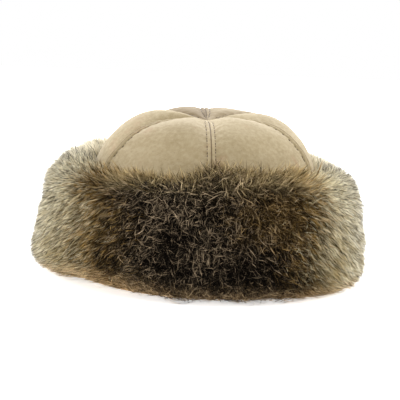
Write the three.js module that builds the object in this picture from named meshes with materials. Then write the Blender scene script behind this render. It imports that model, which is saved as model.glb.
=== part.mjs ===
// Fur toque: a crown of six suede gores standing in a deep turned-up cuff of long fur.
// Millimetres, +Z up. The hat rests on the flat underside of its cuff at z = 0 and its front faces -Y.
// The origin is the middle of the footprint. An azimuth is counted from the front towards +X, in degrees.
import * as THREE from "three";

// Driving dimensions
const CROWN_HALF_WIDTH = 93;
const CROWN_HALF_LENGTH = 101;
const SUEDE = 1.8;
const SEAM_GAP = 0.35;
const HEM_HEIGHT = 5.4;
const SKIN = 2;
const SKIN_CLEARANCE = 0.45;
const SKIN_BOTTOM = 3;
const SKIN_TOP = 84;
const LIP = 6;
const PILE_CLEARANCE = 0.4;
const PILE_LUMP = 1.2;

// How finely a gore is divided across, and the cuff round its whole turn
const GORE_STEPS = 8;
const CUFF_STEPS = 60;

// The seams between gores, by azimuth
const SEAMS = [0, 68, 118, 180, 234, 292.5];
const FULL_TURN = 360;

// fullness scales the puff of a gore between its two seams
const GORES = [
  { name: "crown_gore_front_right", seam: 0, fullness: 1.3 },
  { name: "crown_gore_right", seam: 1, fullness: 0.8 },
  { name: "crown_gore_back_right", seam: 2, fullness: 0.6 },
  { name: "crown_gore_back_left", seam: 3, fullness: 0.9 },
  { name: "crown_gore_left", seam: 4, fullness: 1.7 },
  { name: "crown_gore_front_left", seam: 5, fullness: 1.3 },
];

// One seam from the dimpled middle of the top down to the hem. reach is a share of the crown's half size,
// puff is how far a gore of fullness 1 swells between its seams, and oval is how far its outline has
// turned into the oval of the head.
const CROWN_ROWS = [
  { reach: 0.008, height: 131.9, puff: 0, oval: 0 },
  { reach: 0.12, height: 132.7, puff: 0.8, oval: 0 },
  { reach: 0.24, height: 134, puff: 1.9, oval: 0 },
  { reach: 0.36, height: 134.2, puff: 2.9, oval: 0 },
  { reach: 0.48, height: 133.5, puff: 3.6, oval: 0 },
  { reach: 0.58, height: 131.7, puff: 4.1, oval: 0 },
  { reach: 0.68, height: 128.1, puff: 4.5, oval: 0 },
  { reach: 0.77, height: 122.8, puff: 4.9, oval: 0 },
  { reach: 0.84, height: 116.6, puff: 5.2, oval: 0 },
  { reach: 0.9, height: 110.3, puff: 5.6, oval: 0.05 },
  { reach: 0.95, height: 102, puff: 6.2, oval: 0.2 },
  { reach: 0.98, height: 92, puff: 7.2, oval: 0.6 },
  { reach: 1, height: 76, puff: 0, oval: 1 },
  { reach: 1, height: 40, puff: 0, oval: 1 },
  { reach: 1, height: HEM_HEIGHT, puff: 0, oval: 1 },
];
const HEM_ROW = CROWN_ROWS.length - 1;

// The top of the crown leans: it rises towards the back and a little towards the right
const LEAN_RIGHT = 0.042;
const LEAN_BACK = 0.094;
const LEAN_FROM = 80;
const LEAN_FULL = 120;

// The fur's outer form from under the rim, up the face and over the top to the crown. out is the distance
// from the crown's wall.
const PILE_FACE = [
  { out: -LIP, height: 0 },
  { out: 14, height: 0 },
  { out: 25, height: 2 },
  { out: 35, height: 5.5 },
  { out: 42, height: 11 },
  { out: 46, height: 19 },
  { out: 46, height: 31 },
  { out: 45, height: 45 },
  { out: 43.5, height: 60 },
  { out: 41.5, height: 74 },
  { out: 37.5, height: 85 },
  { out: 31, height: 94 },
  { out: 21, height: 100 },
  { out: 11, height: 102 },
  { out: 4, height: 99.5 },
  { out: 0.6, height: 94 },
];

// How the pile differs round the hat: lift of its top edge, spread of its face, and how much higher
// than in PILE_FACE its lower corner is tucked up
const PILE_STATIONS = [
  { azimuth: 0, lift: -1, spread: 0, tuck: 0.8 },
  { azimuth: 45, lift: -1, spread: -1, tuck: 0.55 },
  { azimuth: 90, lift: -3, spread: -5, tuck: 0.55 },
  { azimuth: 135, lift: 1, spread: -1, tuck: 0.9 },
  { azimuth: 180, lift: 1, spread: 0, tuck: 1 },
  { azimuth: 225, lift: 3, spread: 1, tuck: 0.8 },
  { azimuth: 270, lift: -1, spread: 1.5, tuck: 0.5 },
  { azimuth: 315, lift: -5, spread: 0, tuck: 1.6 },
];
const LIFT_FROM = 70;
const LIFT_FULL = 100;
const TUCK_UNTIL = 31;
const SPREAD_FULL_HEIGHT = 15;
const SPREAD_FROM_OUT = 3;
const SPREAD_FULL_OUT = 25;

const radians = THREE.MathUtils.degToRad;
const smooth = THREE.MathUtils.smoothstep;

// Distance from the middle to the crown's oval in the direction of an azimuth given in radians.
function ovalRadius(azimuth) {
  return 1 / Math.hypot(Math.sin(azimuth) / CROWN_HALF_WIDTH, Math.cos(azimuth) / CROWN_HALF_LENGTH);
}

function ovalPoint(azimuth) {
  const radius = ovalRadius(azimuth);
  return new THREE.Vector3(radius * Math.sin(azimuth), -radius * Math.cos(azimuth), 0);
}

// The oval's level outward normal at the azimuth of a point.
function ovalNormal(point) {
  return new THREE.Vector3(point.x / CROWN_HALF_WIDTH ** 2, point.y / CROWN_HALF_LENGTH ** 2, 0).normalize();
}

// The direction in which a seam's wall faces at a row, as its level and upright shares.
function slopeAt(row) {
  const above = CROWN_ROWS[Math.max(row - 1, 0)];
  const below = CROWN_ROWS[Math.min(row + 1, HEM_ROW)];
  const half = (CROWN_HALF_WIDTH + CROWN_HALF_LENGTH) / 2;
  return new THREE.Vector2(above.height - below.height, (below.reach - above.reach) * half).normalize();
}

// A point of a gore's outer face and the wall's outward direction there. across runs from -1 at the gore's
// first seam to 1 at its second: the straight line between the seams, swollen by a parabola, and lower down
// the head's oval.
function crownPoint(gore, across, row) {
  const { reach, height, puff, oval } = CROWN_ROWS[row];
  const from = SEAMS[gore.seam];
  const to = SEAMS[gore.seam + 1] ?? FULL_TURN;
  const share = (across + 1) / 2;
  const straight = ovalPoint(radians(from)).lerp(ovalPoint(radians(to)), share);
  const point = straight.lerp(ovalPoint(radians(THREE.MathUtils.lerp(from, to, share))), oval);
  point.multiplyScalar(reach);
  const slope = slopeAt(row);
  const normal = ovalNormal(point).multiplyScalar(slope.x);
  normal.z = slope.y;
  point.z = height;
  point.addScaledVector(normal, puff * gore.fullness * (1 - oval) * (1 - across ** 2));
  point.z += (LEAN_RIGHT * point.x + LEAN_BACK * point.y) * smooth(point.z, LEAN_FROM, LEAN_FULL);
  return { point, normal };
}

function meshGeometry(points, triangles) {
  const geometry = new THREE.BufferGeometry().setFromPoints(points);
  geometry.setIndex(triangles);
  geometry.computeVertexNormals();
  return geometry;
}

// Closes an outer and an inner grid of points, of the same rows and columns, into one thick wall.
function wallGeometry(outer, inner) {
  const rows = outer.length;
  const columns = outer[0].length;
  const triangles = [];
  const at = (row, column, side) => (side * rows + row) * columns + column;
  const quad = (a, b, c, d) => triangles.push(a, b, c, a, c, d);
  for (let r = 0; r < rows - 1; r++) {
    for (let c = 0; c < columns - 1; c++) {
      quad(at(r, c, 0), at(r + 1, c, 0), at(r + 1, c + 1, 0), at(r, c + 1, 0));
      quad(at(r, c, 1), at(r, c + 1, 1), at(r + 1, c + 1, 1), at(r + 1, c, 1));
    }
    quad(at(r + 1, 0, 0), at(r, 0, 0), at(r, 0, 1), at(r + 1, 0, 1));
    const c = columns - 1;
    quad(at(r, c, 0), at(r + 1, c, 0), at(r + 1, c, 1), at(r, c, 1));
  }
  for (let c = 0; c < columns - 1; c++) {
    quad(at(0, c, 0), at(0, c + 1, 0), at(0, c + 1, 1), at(0, c, 1));
    const r = rows - 1;
    quad(at(r, c + 1, 0), at(r, c, 0), at(r, c, 1), at(r, c + 1, 1));
  }
  return meshGeometry([...outer, ...inner].flat(), triangles);
}

// Joins section loops, each counterclockwise seen with the hat's middle to the left, into a closed ring.
function ringGeometry(loops) {
  const count = loops[0].length;
  const triangles = [];
  for (let i = 0; i < loops.length; i++) {
    const next = (i + 1) % loops.length;
    for (let j = 0; j < count; j++) {
      const up = (j + 1) % count;
      const [a, b, c, d] = [i * count + j, next * count + j, next * count + up, i * count + up];
      triangles.push(a, b, c, a, c, d);
    }
  }
  return meshGeometry(loops.flat(), triangles);
}

// One gore: its outer face, and an inner face one suede thickness in. Its edges stop half a gap short of
// the seams, measured along the straight line between them.
function goreGeometry(gore) {
  const outer = [];
  const inner = [];
  for (let row = 0; row <= HEM_ROW; row++) {
    const chord = crownPoint(gore, -1, row).point.distanceTo(crownPoint(gore, 1, row).point);
    const edge = 1 - SEAM_GAP / chord;
    outer.push([]);
    inner.push([]);
    for (let step = 0; step <= GORE_STEPS; step++) {
      const { point, normal } = crownPoint(gore, edge * ((2 * step) / GORE_STEPS - 1), row);
      outer[row].push(point);
      inner[row].push(point.clone().addScaledVector(normal, -SUEDE));
    }
  }
  return wallGeometry(outer, inner);
}

// A point that stands off the oval of the crown's hem by a distance out.
function besideOval(azimuth, out, height) {
  const point = ovalPoint(azimuth);
  return point.addScaledVector(ovalNormal(point), out).setZ(height);
}

// A ring round the hat whose section at each azimuth is a list of points that a function gives.
function cuffGeometry(sectionAt) {
  const azimuths = Array.from({ length: CUFF_STEPS }, (_, step) => radians((step * FULL_TURN) / CUFF_STEPS));
  return ringGeometry(azimuths.map(sectionAt));
}

// The cuff's skin: a band up the outside of the crown's wall, with a lip turned in under the crown's hem.
function skinGeometry() {
  const section = [
    { out: -LIP, height: SKIN_BOTTOM },
    { out: SKIN_CLEARANCE + SKIN, height: SKIN_BOTTOM },
    { out: SKIN_CLEARANCE + SKIN, height: SKIN_TOP },
    { out: SKIN_CLEARANCE, height: SKIN_TOP },
    { out: SKIN_CLEARANCE, height: SKIN_BOTTOM + SKIN },
    { out: -LIP, height: SKIN_BOTTOM + SKIN },
  ];
  return cuffGeometry((azimuth) => section.map(({ out, height }) => besideOval(azimuth, out, height)));
}

// A column of a table with an azimuth column, eased between its rows all the way round.
function around(table, degrees, column) {
  const turn = THREE.MathUtils.euclideanModulo(degrees, FULL_TURN);
  const last = table.findLastIndex((row) => row.azimuth <= turn);
  const from = table[last];
  const to = table[(last + 1) % table.length];
  const span = THREE.MathUtils.euclideanModulo(to.azimuth - from.azimuth, FULL_TURN);
  return THREE.MathUtils.lerp(from[column], to[column], smooth(turn - from.azimuth, 0, span));
}

// A point of the fur's outer form. The pile stands out more and less round the hat by its table and by slow
// waves, which don't reach the crown or the underside.
function pilePoint(azimuth, { out, height }) {
  const degrees = THREE.MathUtils.radToDeg(azimuth);
  const share = smooth(out, SPREAD_FROM_OUT, SPREAD_FULL_OUT) * smooth(height, 0, SPREAD_FULL_HEIGHT);
  const wave = PILE_LUMP * (Math.sin(5 * azimuth + 0.6) + 0.6 * Math.sin(9 * azimuth + 2.1));
  const spread = around(PILE_STATIONS, degrees, "spread") + wave;
  const tuck = THREE.MathUtils.lerp(around(PILE_STATIONS, degrees, "tuck"), 1, smooth(height, 0, TUCK_UNTIL));
  const lift = around(PILE_STATIONS, degrees, "lift") * smooth(height, LIFT_FROM, LIFT_FULL);
  return besideOval(azimuth, out + spread * share, height * tuck + lift);
}

// The fur as one solid of its outer form, hollow behind where the skin stands.
function pileGeometry() {
  const behind = SKIN_CLEARANCE + SKIN + PILE_CLEARANCE;
  const back = [
    { out: PILE_FACE.at(-1).out, height: SKIN_TOP + 2 * PILE_CLEARANCE },
    { out: behind, height: SKIN_TOP + PILE_CLEARANCE },
    { out: behind, height: SKIN_BOTTOM - PILE_CLEARANCE },
    { out: -LIP, height: SKIN_BOTTOM - PILE_CLEARANCE },
  ];
  return cuffGeometry((azimuth) => [
    ...PILE_FACE.map((row) => pilePoint(azimuth, row)),
    ...back.map(({ out, height }) => besideOval(azimuth, out, height)),
  ]);
}

function namedMesh(name, geometry, material) {
  const mesh = new THREE.Mesh(geometry, material);
  mesh.name = name;
  return mesh;
}

const suede = new THREE.MeshStandardMaterial({ color: 0xbaa885, roughness: 0.95, metalness: 0 });
const skin = new THREE.MeshStandardMaterial({ color: 0xd8ccb2, roughness: 0.9, metalness: 0 });
const fur = new THREE.MeshStandardMaterial({ color: 0x5f4f39, roughness: 1, metalness: 0 });

const toque = new THREE.Group();
const crown = new THREE.Group();
for (const gore of GORES) crown.add(namedMesh(gore.name, goreGeometry(gore), suede));
const cuff = new THREE.Group();
cuff.add(namedMesh("cuff_skin", skinGeometry(), skin));
cuff.add(namedMesh("cuff_fur", pileGeometry(), fur));
toque.add(crown, cuff);

// The waves in the pile move its box a little, so the whole hat is centred on its footprint.
const middle = new THREE.Box3().setFromObject(toque).getCenter(new THREE.Vector3());
toque.position.set(-middle.x, -middle.y, 0);

export default toque;
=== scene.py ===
import bpy
import numpy as np
from mathutils import Matrix, Vector


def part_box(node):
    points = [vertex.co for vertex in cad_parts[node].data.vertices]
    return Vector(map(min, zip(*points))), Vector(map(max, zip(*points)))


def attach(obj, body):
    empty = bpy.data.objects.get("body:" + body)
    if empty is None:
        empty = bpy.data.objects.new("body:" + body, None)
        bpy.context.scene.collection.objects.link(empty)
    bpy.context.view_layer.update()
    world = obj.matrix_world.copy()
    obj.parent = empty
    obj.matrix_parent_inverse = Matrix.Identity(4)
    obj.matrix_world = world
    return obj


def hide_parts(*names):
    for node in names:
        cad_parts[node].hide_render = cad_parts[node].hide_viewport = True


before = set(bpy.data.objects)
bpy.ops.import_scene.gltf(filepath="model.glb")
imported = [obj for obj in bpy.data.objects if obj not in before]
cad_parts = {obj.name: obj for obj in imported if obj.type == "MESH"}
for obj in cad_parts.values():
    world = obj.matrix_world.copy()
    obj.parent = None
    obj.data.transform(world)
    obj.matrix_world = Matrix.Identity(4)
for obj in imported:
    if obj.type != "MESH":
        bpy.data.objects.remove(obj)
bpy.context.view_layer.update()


# Camera: a long lens a little higher than the hat, turned a few degrees to its right-hand side and held
# slightly askew, so that the hat dips towards the right of the picture.
PICTURE_WIDTH = 0.334
SENSOR_WIDTH = 36.0
CAMERA_DISTANCE = 1.6
CAMERA_AZIMUTH = -3.0
CAMERA_ELEVATION = 7.0
CAMERA_ROLL = 2.36
CAMERA_AIM = Vector((-0.001, 0, 0.065))

camera_data = bpy.data.cameras.new("camera")
camera_data.sensor_width = SENSOR_WIDTH
camera_data.lens = SENSOR_WIDTH * CAMERA_DISTANCE / PICTURE_WIDTH
camera = bpy.data.objects.new("camera", camera_data)
turn, rise, roll = np.radians([CAMERA_AZIMUTH, CAMERA_ELEVATION, CAMERA_ROLL])
towards_eye = Vector((np.sin(turn) * np.cos(rise), -np.cos(turn) * np.cos(rise), np.sin(rise)))
facing = towards_eye.to_track_quat("Z", "Y").to_matrix().to_4x4()
camera.matrix_world = (
    Matrix.Translation(CAMERA_AIM + CAMERA_DISTANCE * towards_eye) @ facing @ Matrix.Rotation(roll, 4, "Z")
)
bpy.context.scene.collection.objects.link(camera)
bpy.context.scene.camera = camera


# Crown: six gores of sueded lambskin, cut to petals and sewn right sides together. The turnings are opened
# flat and topstitched on both sides of each joint, so a narrow raised band with a fine groove runs up every
# seam, and each gore swells like a pillow between its bands and sinks to the dimple where all six meet.
CROWN_HALF_WIDTH = 93.0
CROWN_HALF_LENGTH = 101.0
SUEDE_THICKNESS = 1.8
FULL_TURN = 360.0
SEAMS = [0, 68, 118, 180, 234, 292.5, FULL_TURN]
# name, fullness, gore shade, crease shade: the gores from the front seam round by the right. Fullness is how
# much a gore swells, gore shade how much painted shade lies over the whole gore (none from 0.5 up, most at 0),
# so that the back gores look shaded, and crease shade how much painted shade lies beside its seams
GORES = [
    ("crown_gore_front_right", 1.3, 0.5, 0.0),
    ("crown_gore_right", 0.8, 0.6, 0.0),
    ("crown_gore_back_right", 0.6, 0.2, 0.5),
    ("crown_gore_back_left", 0.9, 0.0, 1.0),
    ("crown_gore_left", 1.7, 0.5, 0.0),
    ("crown_gore_front_left", 1.3, 0.42, 0.0),
]
CREASE_WIDTH = 11.0
# reach, height, puff, oval: one seam from the middle of the top to the hem, as shares of the half size,
# height, swelling between seams, and how far the outline has turned into the head's oval
CROWN_ROWS = [
    (0.0, 131.9, 0.0, 0.0),
    (0.12, 132.7, 0.8, 0.0),
    (0.24, 134.0, 1.9, 0.0),
    (0.36, 134.2, 2.9, 0.0),
    (0.48, 133.5, 3.6, 0.0),
    (0.58, 131.7, 4.1, 0.0),
    (0.68, 128.1, 4.5, 0.0),
    (0.77, 122.8, 4.9, 0.0),
    (0.84, 116.6, 5.2, 0.0),
    (0.90, 110.3, 5.6, 0.05),
    (0.95, 102.0, 6.2, 0.2),
    (0.98, 92.0, 7.2, 0.6),
    (1.0, 76.0, 0.0, 1.0),
    (1.0, 40.0, 0.0, 1.0),
    (1.0, 5.4, 0.0, 1.0),
]
LEAN_RIGHT = 0.042
LEAN_BACK = 0.094
LEAN_FROM = 80.0
LEAN_FULL = 120.0
# The part of a row over which the wall's slope is taken
ROW_STEP = 0.25
# Places of the grid's lines: by distance from the seam near it, then evenly across, and by table row
SEAM_LINES = [0, 0.4, 0.8, 1.3, 2.0, 2.9, 3.5, 3.9, 4.3, 4.8, 5.6, 7.0, 9.0]
SEAM_ZONE_MOST = 0.72
MIDDLE_LINES = 9
SHOWN_ROWS = 11.3
SHOWN_LINES = 56
HIDDEN_LINES = 7
# The seam's profile: a band as wide as the stitching, its edges, the groove at the joint and the dent under
# the thread
BAND_HALF_WIDTH = 4.1
BAND_MOST_SHARE = 0.5
BAND_RISE = 0.55
BAND_EDGE_FROM = -0.2
BAND_EDGE_TO = 1.8
GROOVE_DEPTH = 1.0
GROOVE_WIDTH = 0.65
STITCH_DENT = 0.7
STITCH_DENT_WIDTH = 0.75
# Puckers beside the stitching, which wander and are out of step from one side of a seam to the next
PUCKER = 0.28
PUCKER_PITCH = 8.5
PUCKER_REACH = 8.0
PUCKER_FROM_JOINT = 1.5
PUCKER_WANDER = 1.2
PUCKER_WANDER_LENGTH = 17.0
PUCKER_PHASE = 2.0
# The slack of the leather away from the seams
SLACK = 0.55
SLACK_WAVELENGTH = 46.0
SLACK_SEED = 5
SLACK_FROM = 3.0
SLACK_FULL = 16.0
RIPPLE_WAVES = 8
RIPPLE_LENGTHS = (0.7, 1.4)
RIPPLE_GAIN = 2
SHARP_ANGLE = 50.0
AWAY_FROM_JOINT = 30.0
LEAST_LENGTH = 1e-9
LEAST_WIDTH = 1e-6
MILLIMETRE = 0.001

skin_low, skin_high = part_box("cuff_skin")
middle = np.array([*((skin_low + skin_high) / 2 / MILLIMETRE)[:2], 0.0])


def smoothstep(value, low, high):
    """0 below low, 1 above high, and 3t^2 - 2t^3 of the share t of the way between them."""
    share = np.clip((value - low) / (high - low), 0, 1)
    return share * share * (3 - 2 * share)


def along_rows(rows, place):
    """A table's values at fractional row numbers: the cubic between two rows whose slope at each row is
    half of the step from the row before it to the row after it."""
    rows = np.asarray(rows, float)
    last = len(rows) - 1
    row = np.clip(np.floor(place).astype(int), 0, last - 1)
    share = (place - row)[..., None]
    before, here, there, after = (rows[np.clip(row + step, 0, last)] for step in (-1, 0, 1, 2))
    return (
        (2 * share**3 - 3 * share**2 + 1) * here
        + (share**3 - 2 * share**2 + share) * (there - before) / 2
        + (3 * share**2 - 2 * share**3) * there
        + (share**3 - share**2) * (after - here) / 2
    )


def unit(vectors):
    """Vectors divided by their length."""
    return vectors / np.maximum(np.linalg.norm(vectors, axis=-1, keepdims=True), LEAST_LENGTH)


def path_length(points):
    """The length along a line of points, from its first point to each."""
    return np.concatenate([[0], np.cumsum(np.linalg.norm(np.diff(points, axis=0), axis=1))])


def oval_point(azimuth):
    """Where a level line from the middle at an azimuth in degrees meets the oval of the hem: the ellipse
    x = r sin a, y = -r cos a with 1 / r^2 = (sin a / half width)^2 + (cos a / half length)^2."""
    angle = np.radians(azimuth)
    radius = 1 / np.hypot(np.sin(angle) / CROWN_HALF_WIDTH, np.cos(angle) / CROWN_HALF_LENGTH)
    return np.stack([radius * np.sin(angle), -radius * np.cos(angle), 0 * radius], -1)


def oval_normal(points):
    """The oval's level outward normal at the azimuth of points: (x / half width^2, y / half length^2)."""
    return unit(points / np.array([CROWN_HALF_WIDTH**2, CROWN_HALF_LENGTH**2, np.inf]))


def ripple(points, wavelength, seed):
    """A soft unevenness between about -1 and 1: the mean of a few plane waves of about that wavelength, in
    directions and phases that the seed draws, times a gain."""
    draw = np.random.default_rng(seed)
    directions = unit(draw.normal(size=(RIPPLE_WAVES, 3))) * draw.uniform(*RIPPLE_LENGTHS, (RIPPLE_WAVES, 1))
    phases = draw.uniform(0, 2 * np.pi, RIPPLE_WAVES)
    return np.sin(points @ (directions * 2 * np.pi / wavelength).T + phases).mean(-1) * RIPPLE_GAIN


def half_chord(seam, row):
    """Half the straight distance between a seam and the next at a row."""
    reach = along_rows(CROWN_ROWS, row)[..., 0]
    return reach * np.linalg.norm(oval_point(SEAMS[seam]) - oval_point(SEAMS[seam + 1])) / 2


def crown_wall(seam, across, row):
    """Points of the crown between a seam and the next, and the wall's outward direction there. across runs
    from -1 to 1 between the two seams. The wall is the straight line between them, bent into the oval lower
    down, and moved out by puff (1 - a^2), where a is 0 in the middle and reaches 1 at the bands' edges. Last,
    the top leans by a small share of x and y."""
    last = len(CROWN_ROWS) - 1
    reach, height, puff, oval = np.moveaxis(along_rows(CROWN_ROWS, row), -1, 0)
    above = along_rows(CROWN_ROWS, np.clip(row - ROW_STEP, 0, last))
    below = along_rows(CROWN_ROWS, np.clip(row + ROW_STEP, 0, last))
    half_size = (CROWN_HALF_WIDTH + CROWN_HALF_LENGTH) / 2
    slope = unit(np.stack([above[..., 1] - below[..., 1], (below[..., 0] - above[..., 0]) * half_size], -1))
    share = (across + 1) / 2
    start, stop = SEAMS[seam], SEAMS[seam + 1]
    straight = oval_point(start) * (1 - share)[..., None] + oval_point(stop) * share[..., None]
    bent = oval_point(start + (stop - start) * share)
    points = (straight * (1 - oval)[..., None] + bent * oval[..., None]) * reach[..., None]
    normals = oval_normal(points) * slope[..., :1]
    normals[..., 2] = slope[..., 1]
    band = np.minimum(BAND_HALF_WIDTH / np.maximum(half_chord(seam, row), LEAST_WIDTH), BAND_MOST_SHARE)
    swell = 1 - np.minimum(np.abs(across) / (1 - band), 1) ** 2
    fullness = GORES[seam][1]
    points[..., 2] = height
    points = points + normals * (puff * fullness * (1 - oval) * swell)[..., None]
    lean = LEAN_RIGHT * points[..., 0] + LEAN_BACK * points[..., 1]
    points[..., 2] += lean * smoothstep(points[..., 2], LEAN_FROM, LEAN_FULL)
    return points, normals


def seam_zone(half):
    """How far a seam's profile is drawn together, as a share, where half of the gore's width is this."""
    return np.minimum(1, SEAM_ZONE_MOST * half / SEAM_LINES[-1])


def seam_profile(distance, length, scale, phase):
    """How far the suede stands off the plain wall, by distance from the joint and length along it: a band
    that falls off past the stitching, less a bell-shaped groove at the joint and one under the thread, with
    puckers beside it. scale shrinks the profile where gores are narrow."""
    from_joint = distance / np.maximum(scale, LEAST_WIDTH)
    from_thread = from_joint - BAND_HALF_WIDTH
    band = BAND_RISE * (1 - smoothstep(from_thread, BAND_EDGE_FROM, BAND_EDGE_TO))
    groove = GROOVE_DEPTH * np.exp(-((from_joint / GROOVE_WIDTH) ** 2))
    dent = STITCH_DENT * np.exp(-((from_thread / STITCH_DENT_WIDTH) ** 2))
    wander = PUCKER_WANDER * np.sin(length / PUCKER_WANDER_LENGTH + phase) + phase
    pucker = PUCKER * np.sin(2 * np.pi * length / PUCKER_PITCH + wander)
    by_thread = np.exp(-((from_thread / PUCKER_REACH) ** 2))
    off_joint = 1 - np.exp(-((from_joint / PUCKER_FROM_JOINT) ** 2))
    return (band - groove - dent + pucker * by_thread * off_joint) * scale


def grid_triangles(rows, columns, start=0):
    """The triangles of a grid of points numbered row by row, two for each cell."""
    corner = start + (np.arange(rows - 1)[:, None] * columns + np.arange(columns - 1)).ravel()
    near, far = corner + columns, corner + columns + 1
    return np.concatenate([np.stack([corner, near, far], 1), np.stack([corner, far, corner + 1], 1)])


def edge_strip(edge, offset):
    """The strip of triangles between a line of points and the points that come an offset later."""
    near, far = edge[:-1], edge[1:]
    return np.concatenate([
        np.stack([near, far, far + offset], 1),
        np.stack([near, far + offset, near + offset], 1),
    ])


def wall_triangles(rows, columns):
    """The triangles of a closed wall whose outer and inner face are two grids: both faces, the strips along
    both seams and the strip along the hem."""
    count = rows * columns
    seam_edge = np.arange(rows) * columns
    hem = (rows - 1) * columns + np.arange(columns)
    return np.concatenate([
        grid_triangles(rows, columns),
        grid_triangles(rows, columns, count)[:, ::-1],
        edge_strip(seam_edge, count)[:, ::-1],
        edge_strip(seam_edge + columns - 1, count),
        edge_strip(hem[::-1], count),
    ])


def join_points(triangles, same):
    """Joins each point to the one that same gives for it and drops the triangles that this shrinks to a
    line. Gives the points still in use, and the triangles numbered by them."""
    triangles = same[triangles]
    whole = (triangles != np.roll(triangles, 1, axis=1)).all(1)
    used, packed = np.unique(triangles[whole], return_inverse=True)
    return used, packed.reshape(-1, 3)


def add_mesh(name, points, triangles, facts=None, smooth=True, sharp_angle=None):
    """A mesh object from arrays of points in millimetres and of triangles. facts are numbers for each
    point, or one for all, that the materials read as attributes."""
    mesh = bpy.data.meshes.new(name)
    mesh.vertices.add(len(points))
    mesh.vertices.foreach_set("co", (points * MILLIMETRE).astype(np.float32).ravel())
    mesh.loops.add(3 * len(triangles))
    mesh.loops.foreach_set("vertex_index", triangles.astype(np.int32).ravel())
    mesh.polygons.add(len(triangles))
    mesh.polygons.foreach_set("loop_start", np.arange(0, 3 * len(triangles), 3, dtype=np.int32))
    mesh.polygons.foreach_set("use_smooth", np.full(len(triangles), smooth))
    mesh.update(calc_edges=True)
    for fact, values in (facts or {}).items():
        layer = mesh.attributes.new(fact, "FLOAT", "POINT")
        layer.data.foreach_set("value", np.broadcast_to(values, len(points)).astype(np.float32))
    if sharp_angle is not None:
        mesh.set_sharp_from_angle(angle=np.radians(sharp_angle))
    piece = bpy.data.objects.new(name, mesh)
    bpy.context.scene.collection.objects.link(piece)
    return piece


def gore_lines(seam, row):
    """across for every line of a gore's grid at rows: lines at set distances from both seams, drawn
    together where the gore is narrow, and even ones between them. Also how far they are drawn together."""
    half = half_chord(seam, row)
    zone = seam_zone(half)
    near = np.array(SEAM_LINES) * zone[:, None] / np.maximum(half, LEAST_WIDTH)[:, None]
    inner = 1 - near[:, -1:]
    even = inner * np.linspace(-1, 1, MIDDLE_LINES + 2)[1:-1]
    return np.concatenate([near - 1, even, (1 - near)[:, ::-1]], 1), zone


def make_gore(seam):
    """One gore as a closed wall: its outer face with the seams' profile and the slack of soft leather, and
    a plain inner face one thickness in. Both begin in one point at the middle of the crown."""
    name, _, nap_and_painted_shade, shade_by_seams = GORES[seam]
    row = np.concatenate([
        np.linspace(0, SHOWN_ROWS, SHOWN_LINES),
        np.linspace(SHOWN_ROWS, len(CROWN_ROWS) - 1, HIDDEN_LINES)[1:],
    ])
    across, zone = gore_lines(seam, row)
    rows, columns = across.shape
    count = rows * columns
    points, normals = crown_wall(seam, across, np.broadcast_to(row[:, None], across.shape))
    length = path_length(crown_wall(seam, np.full(rows, -1.0), row)[0])
    distance = (1 - np.abs(across)) * half_chord(seam, row)[:, None]
    seam_side = np.where(across < 0, seam, (seam + 1) % len(GORES)) + 0.5 * (across > 0)
    relief = seam_profile(distance, length[:, None], zone[:, None], PUCKER_PHASE * seam_side)
    slack = SLACK * ripple(points, SLACK_WAVELENGTH, SLACK_SEED) * smoothstep(distance, SLACK_FROM, SLACK_FULL)
    outer = points + normals * (relief + slack)[..., None]
    inner = points - normals * SUEDE_THICKNESS
    both = np.concatenate([outer.reshape(-1, 3), inner.reshape(-1, 3)]) + middle
    same = np.arange(2 * count)
    same[:columns] = 0
    same[count : count + columns] = count
    used, triangles = join_points(wall_triangles(rows, columns), same)
    from_joint = (distance / np.maximum(zone[:, None], LEAST_WIDTH)).ravel()
    # Painted shade: one fact darkens whole gores, the back ones most, the other fades off the back gores'
    # seams
    crease_shade = shade_by_seams * np.exp(-distance / CREASE_WIDTH).ravel()
    facts = {
        "from_joint": np.concatenate([from_joint, np.full(count, AWAY_FROM_JOINT)])[used],
        "nap_and_painted_shade": nap_and_painted_shade,
        "crease_shade": np.concatenate([crease_shade, np.zeros(count)])[used],
    }
    gore = add_mesh(name, both[used], triangles, facts, sharp_angle=SHARP_ANGLE)
    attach(gore, "root")
    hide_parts(name)
    return gore


def linear(colour):
    """A linear RGBA colour from an sRGB hex value such as 0xb5a685."""
    channels = np.array([colour >> 16 & 255, colour >> 8 & 255, colour & 255]) / 255
    curved = np.where(channels <= 0.04045, channels / 12.92, ((channels + 0.055) / 1.055) ** 2.4)
    return (*curved, 1.0)


def add(tree, kind, inputs=None, **settings):
    """Adds a node of a kind with its settings. inputs gives, by socket, a value or an output to link."""
    node = tree.nodes.new(kind)
    for setting, value in settings.items():
        setattr(node, setting, value)
    for socket, value in (inputs or {}).items():
        if isinstance(value, bpy.types.NodeSocket):
            tree.links.new(value, node.inputs[socket])
        else:
            node.inputs[socket].default_value = value
    return node


def new_material(name):
    """An empty node material, and its tree."""
    material = bpy.data.materials.new(name)
    material.use_nodes = True
    material.node_tree.nodes.clear()
    return material, material.node_tree


# Sueded lambskin: the flesh side buffed to a short nap, so it is dull, soft at grazing angles and faintly
# clouded where the nap lies both ways, with a few darker specks of grain. Its joints are dark with shadow.
# The back gores are darkened with painted shade, over the whole gore and more beside their seams.
SUEDE_COLOUR = 0xA1906C
SUEDE_SHADE = 0x998864
SUEDE_PALE = 0xB2A282
SUEDE_BLUSH = 0xA07C5A
# Painted shade laid over the back gores and beside their seams
SUEDE_PAINTED_SHADE = 0x6C5836
SUEDE_SPECK = 0x7E6A4A
SEAM_SHADE = 0x634E2E
# Sizes of the patterns in metres
CLOUD_SIZE = 0.028
BLUSH_SIZE = 0.035
NAP_SIZE = 0.0035
GRAIN_SIZE = 0.0009
SPECK_SPACING = 0.007
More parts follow.
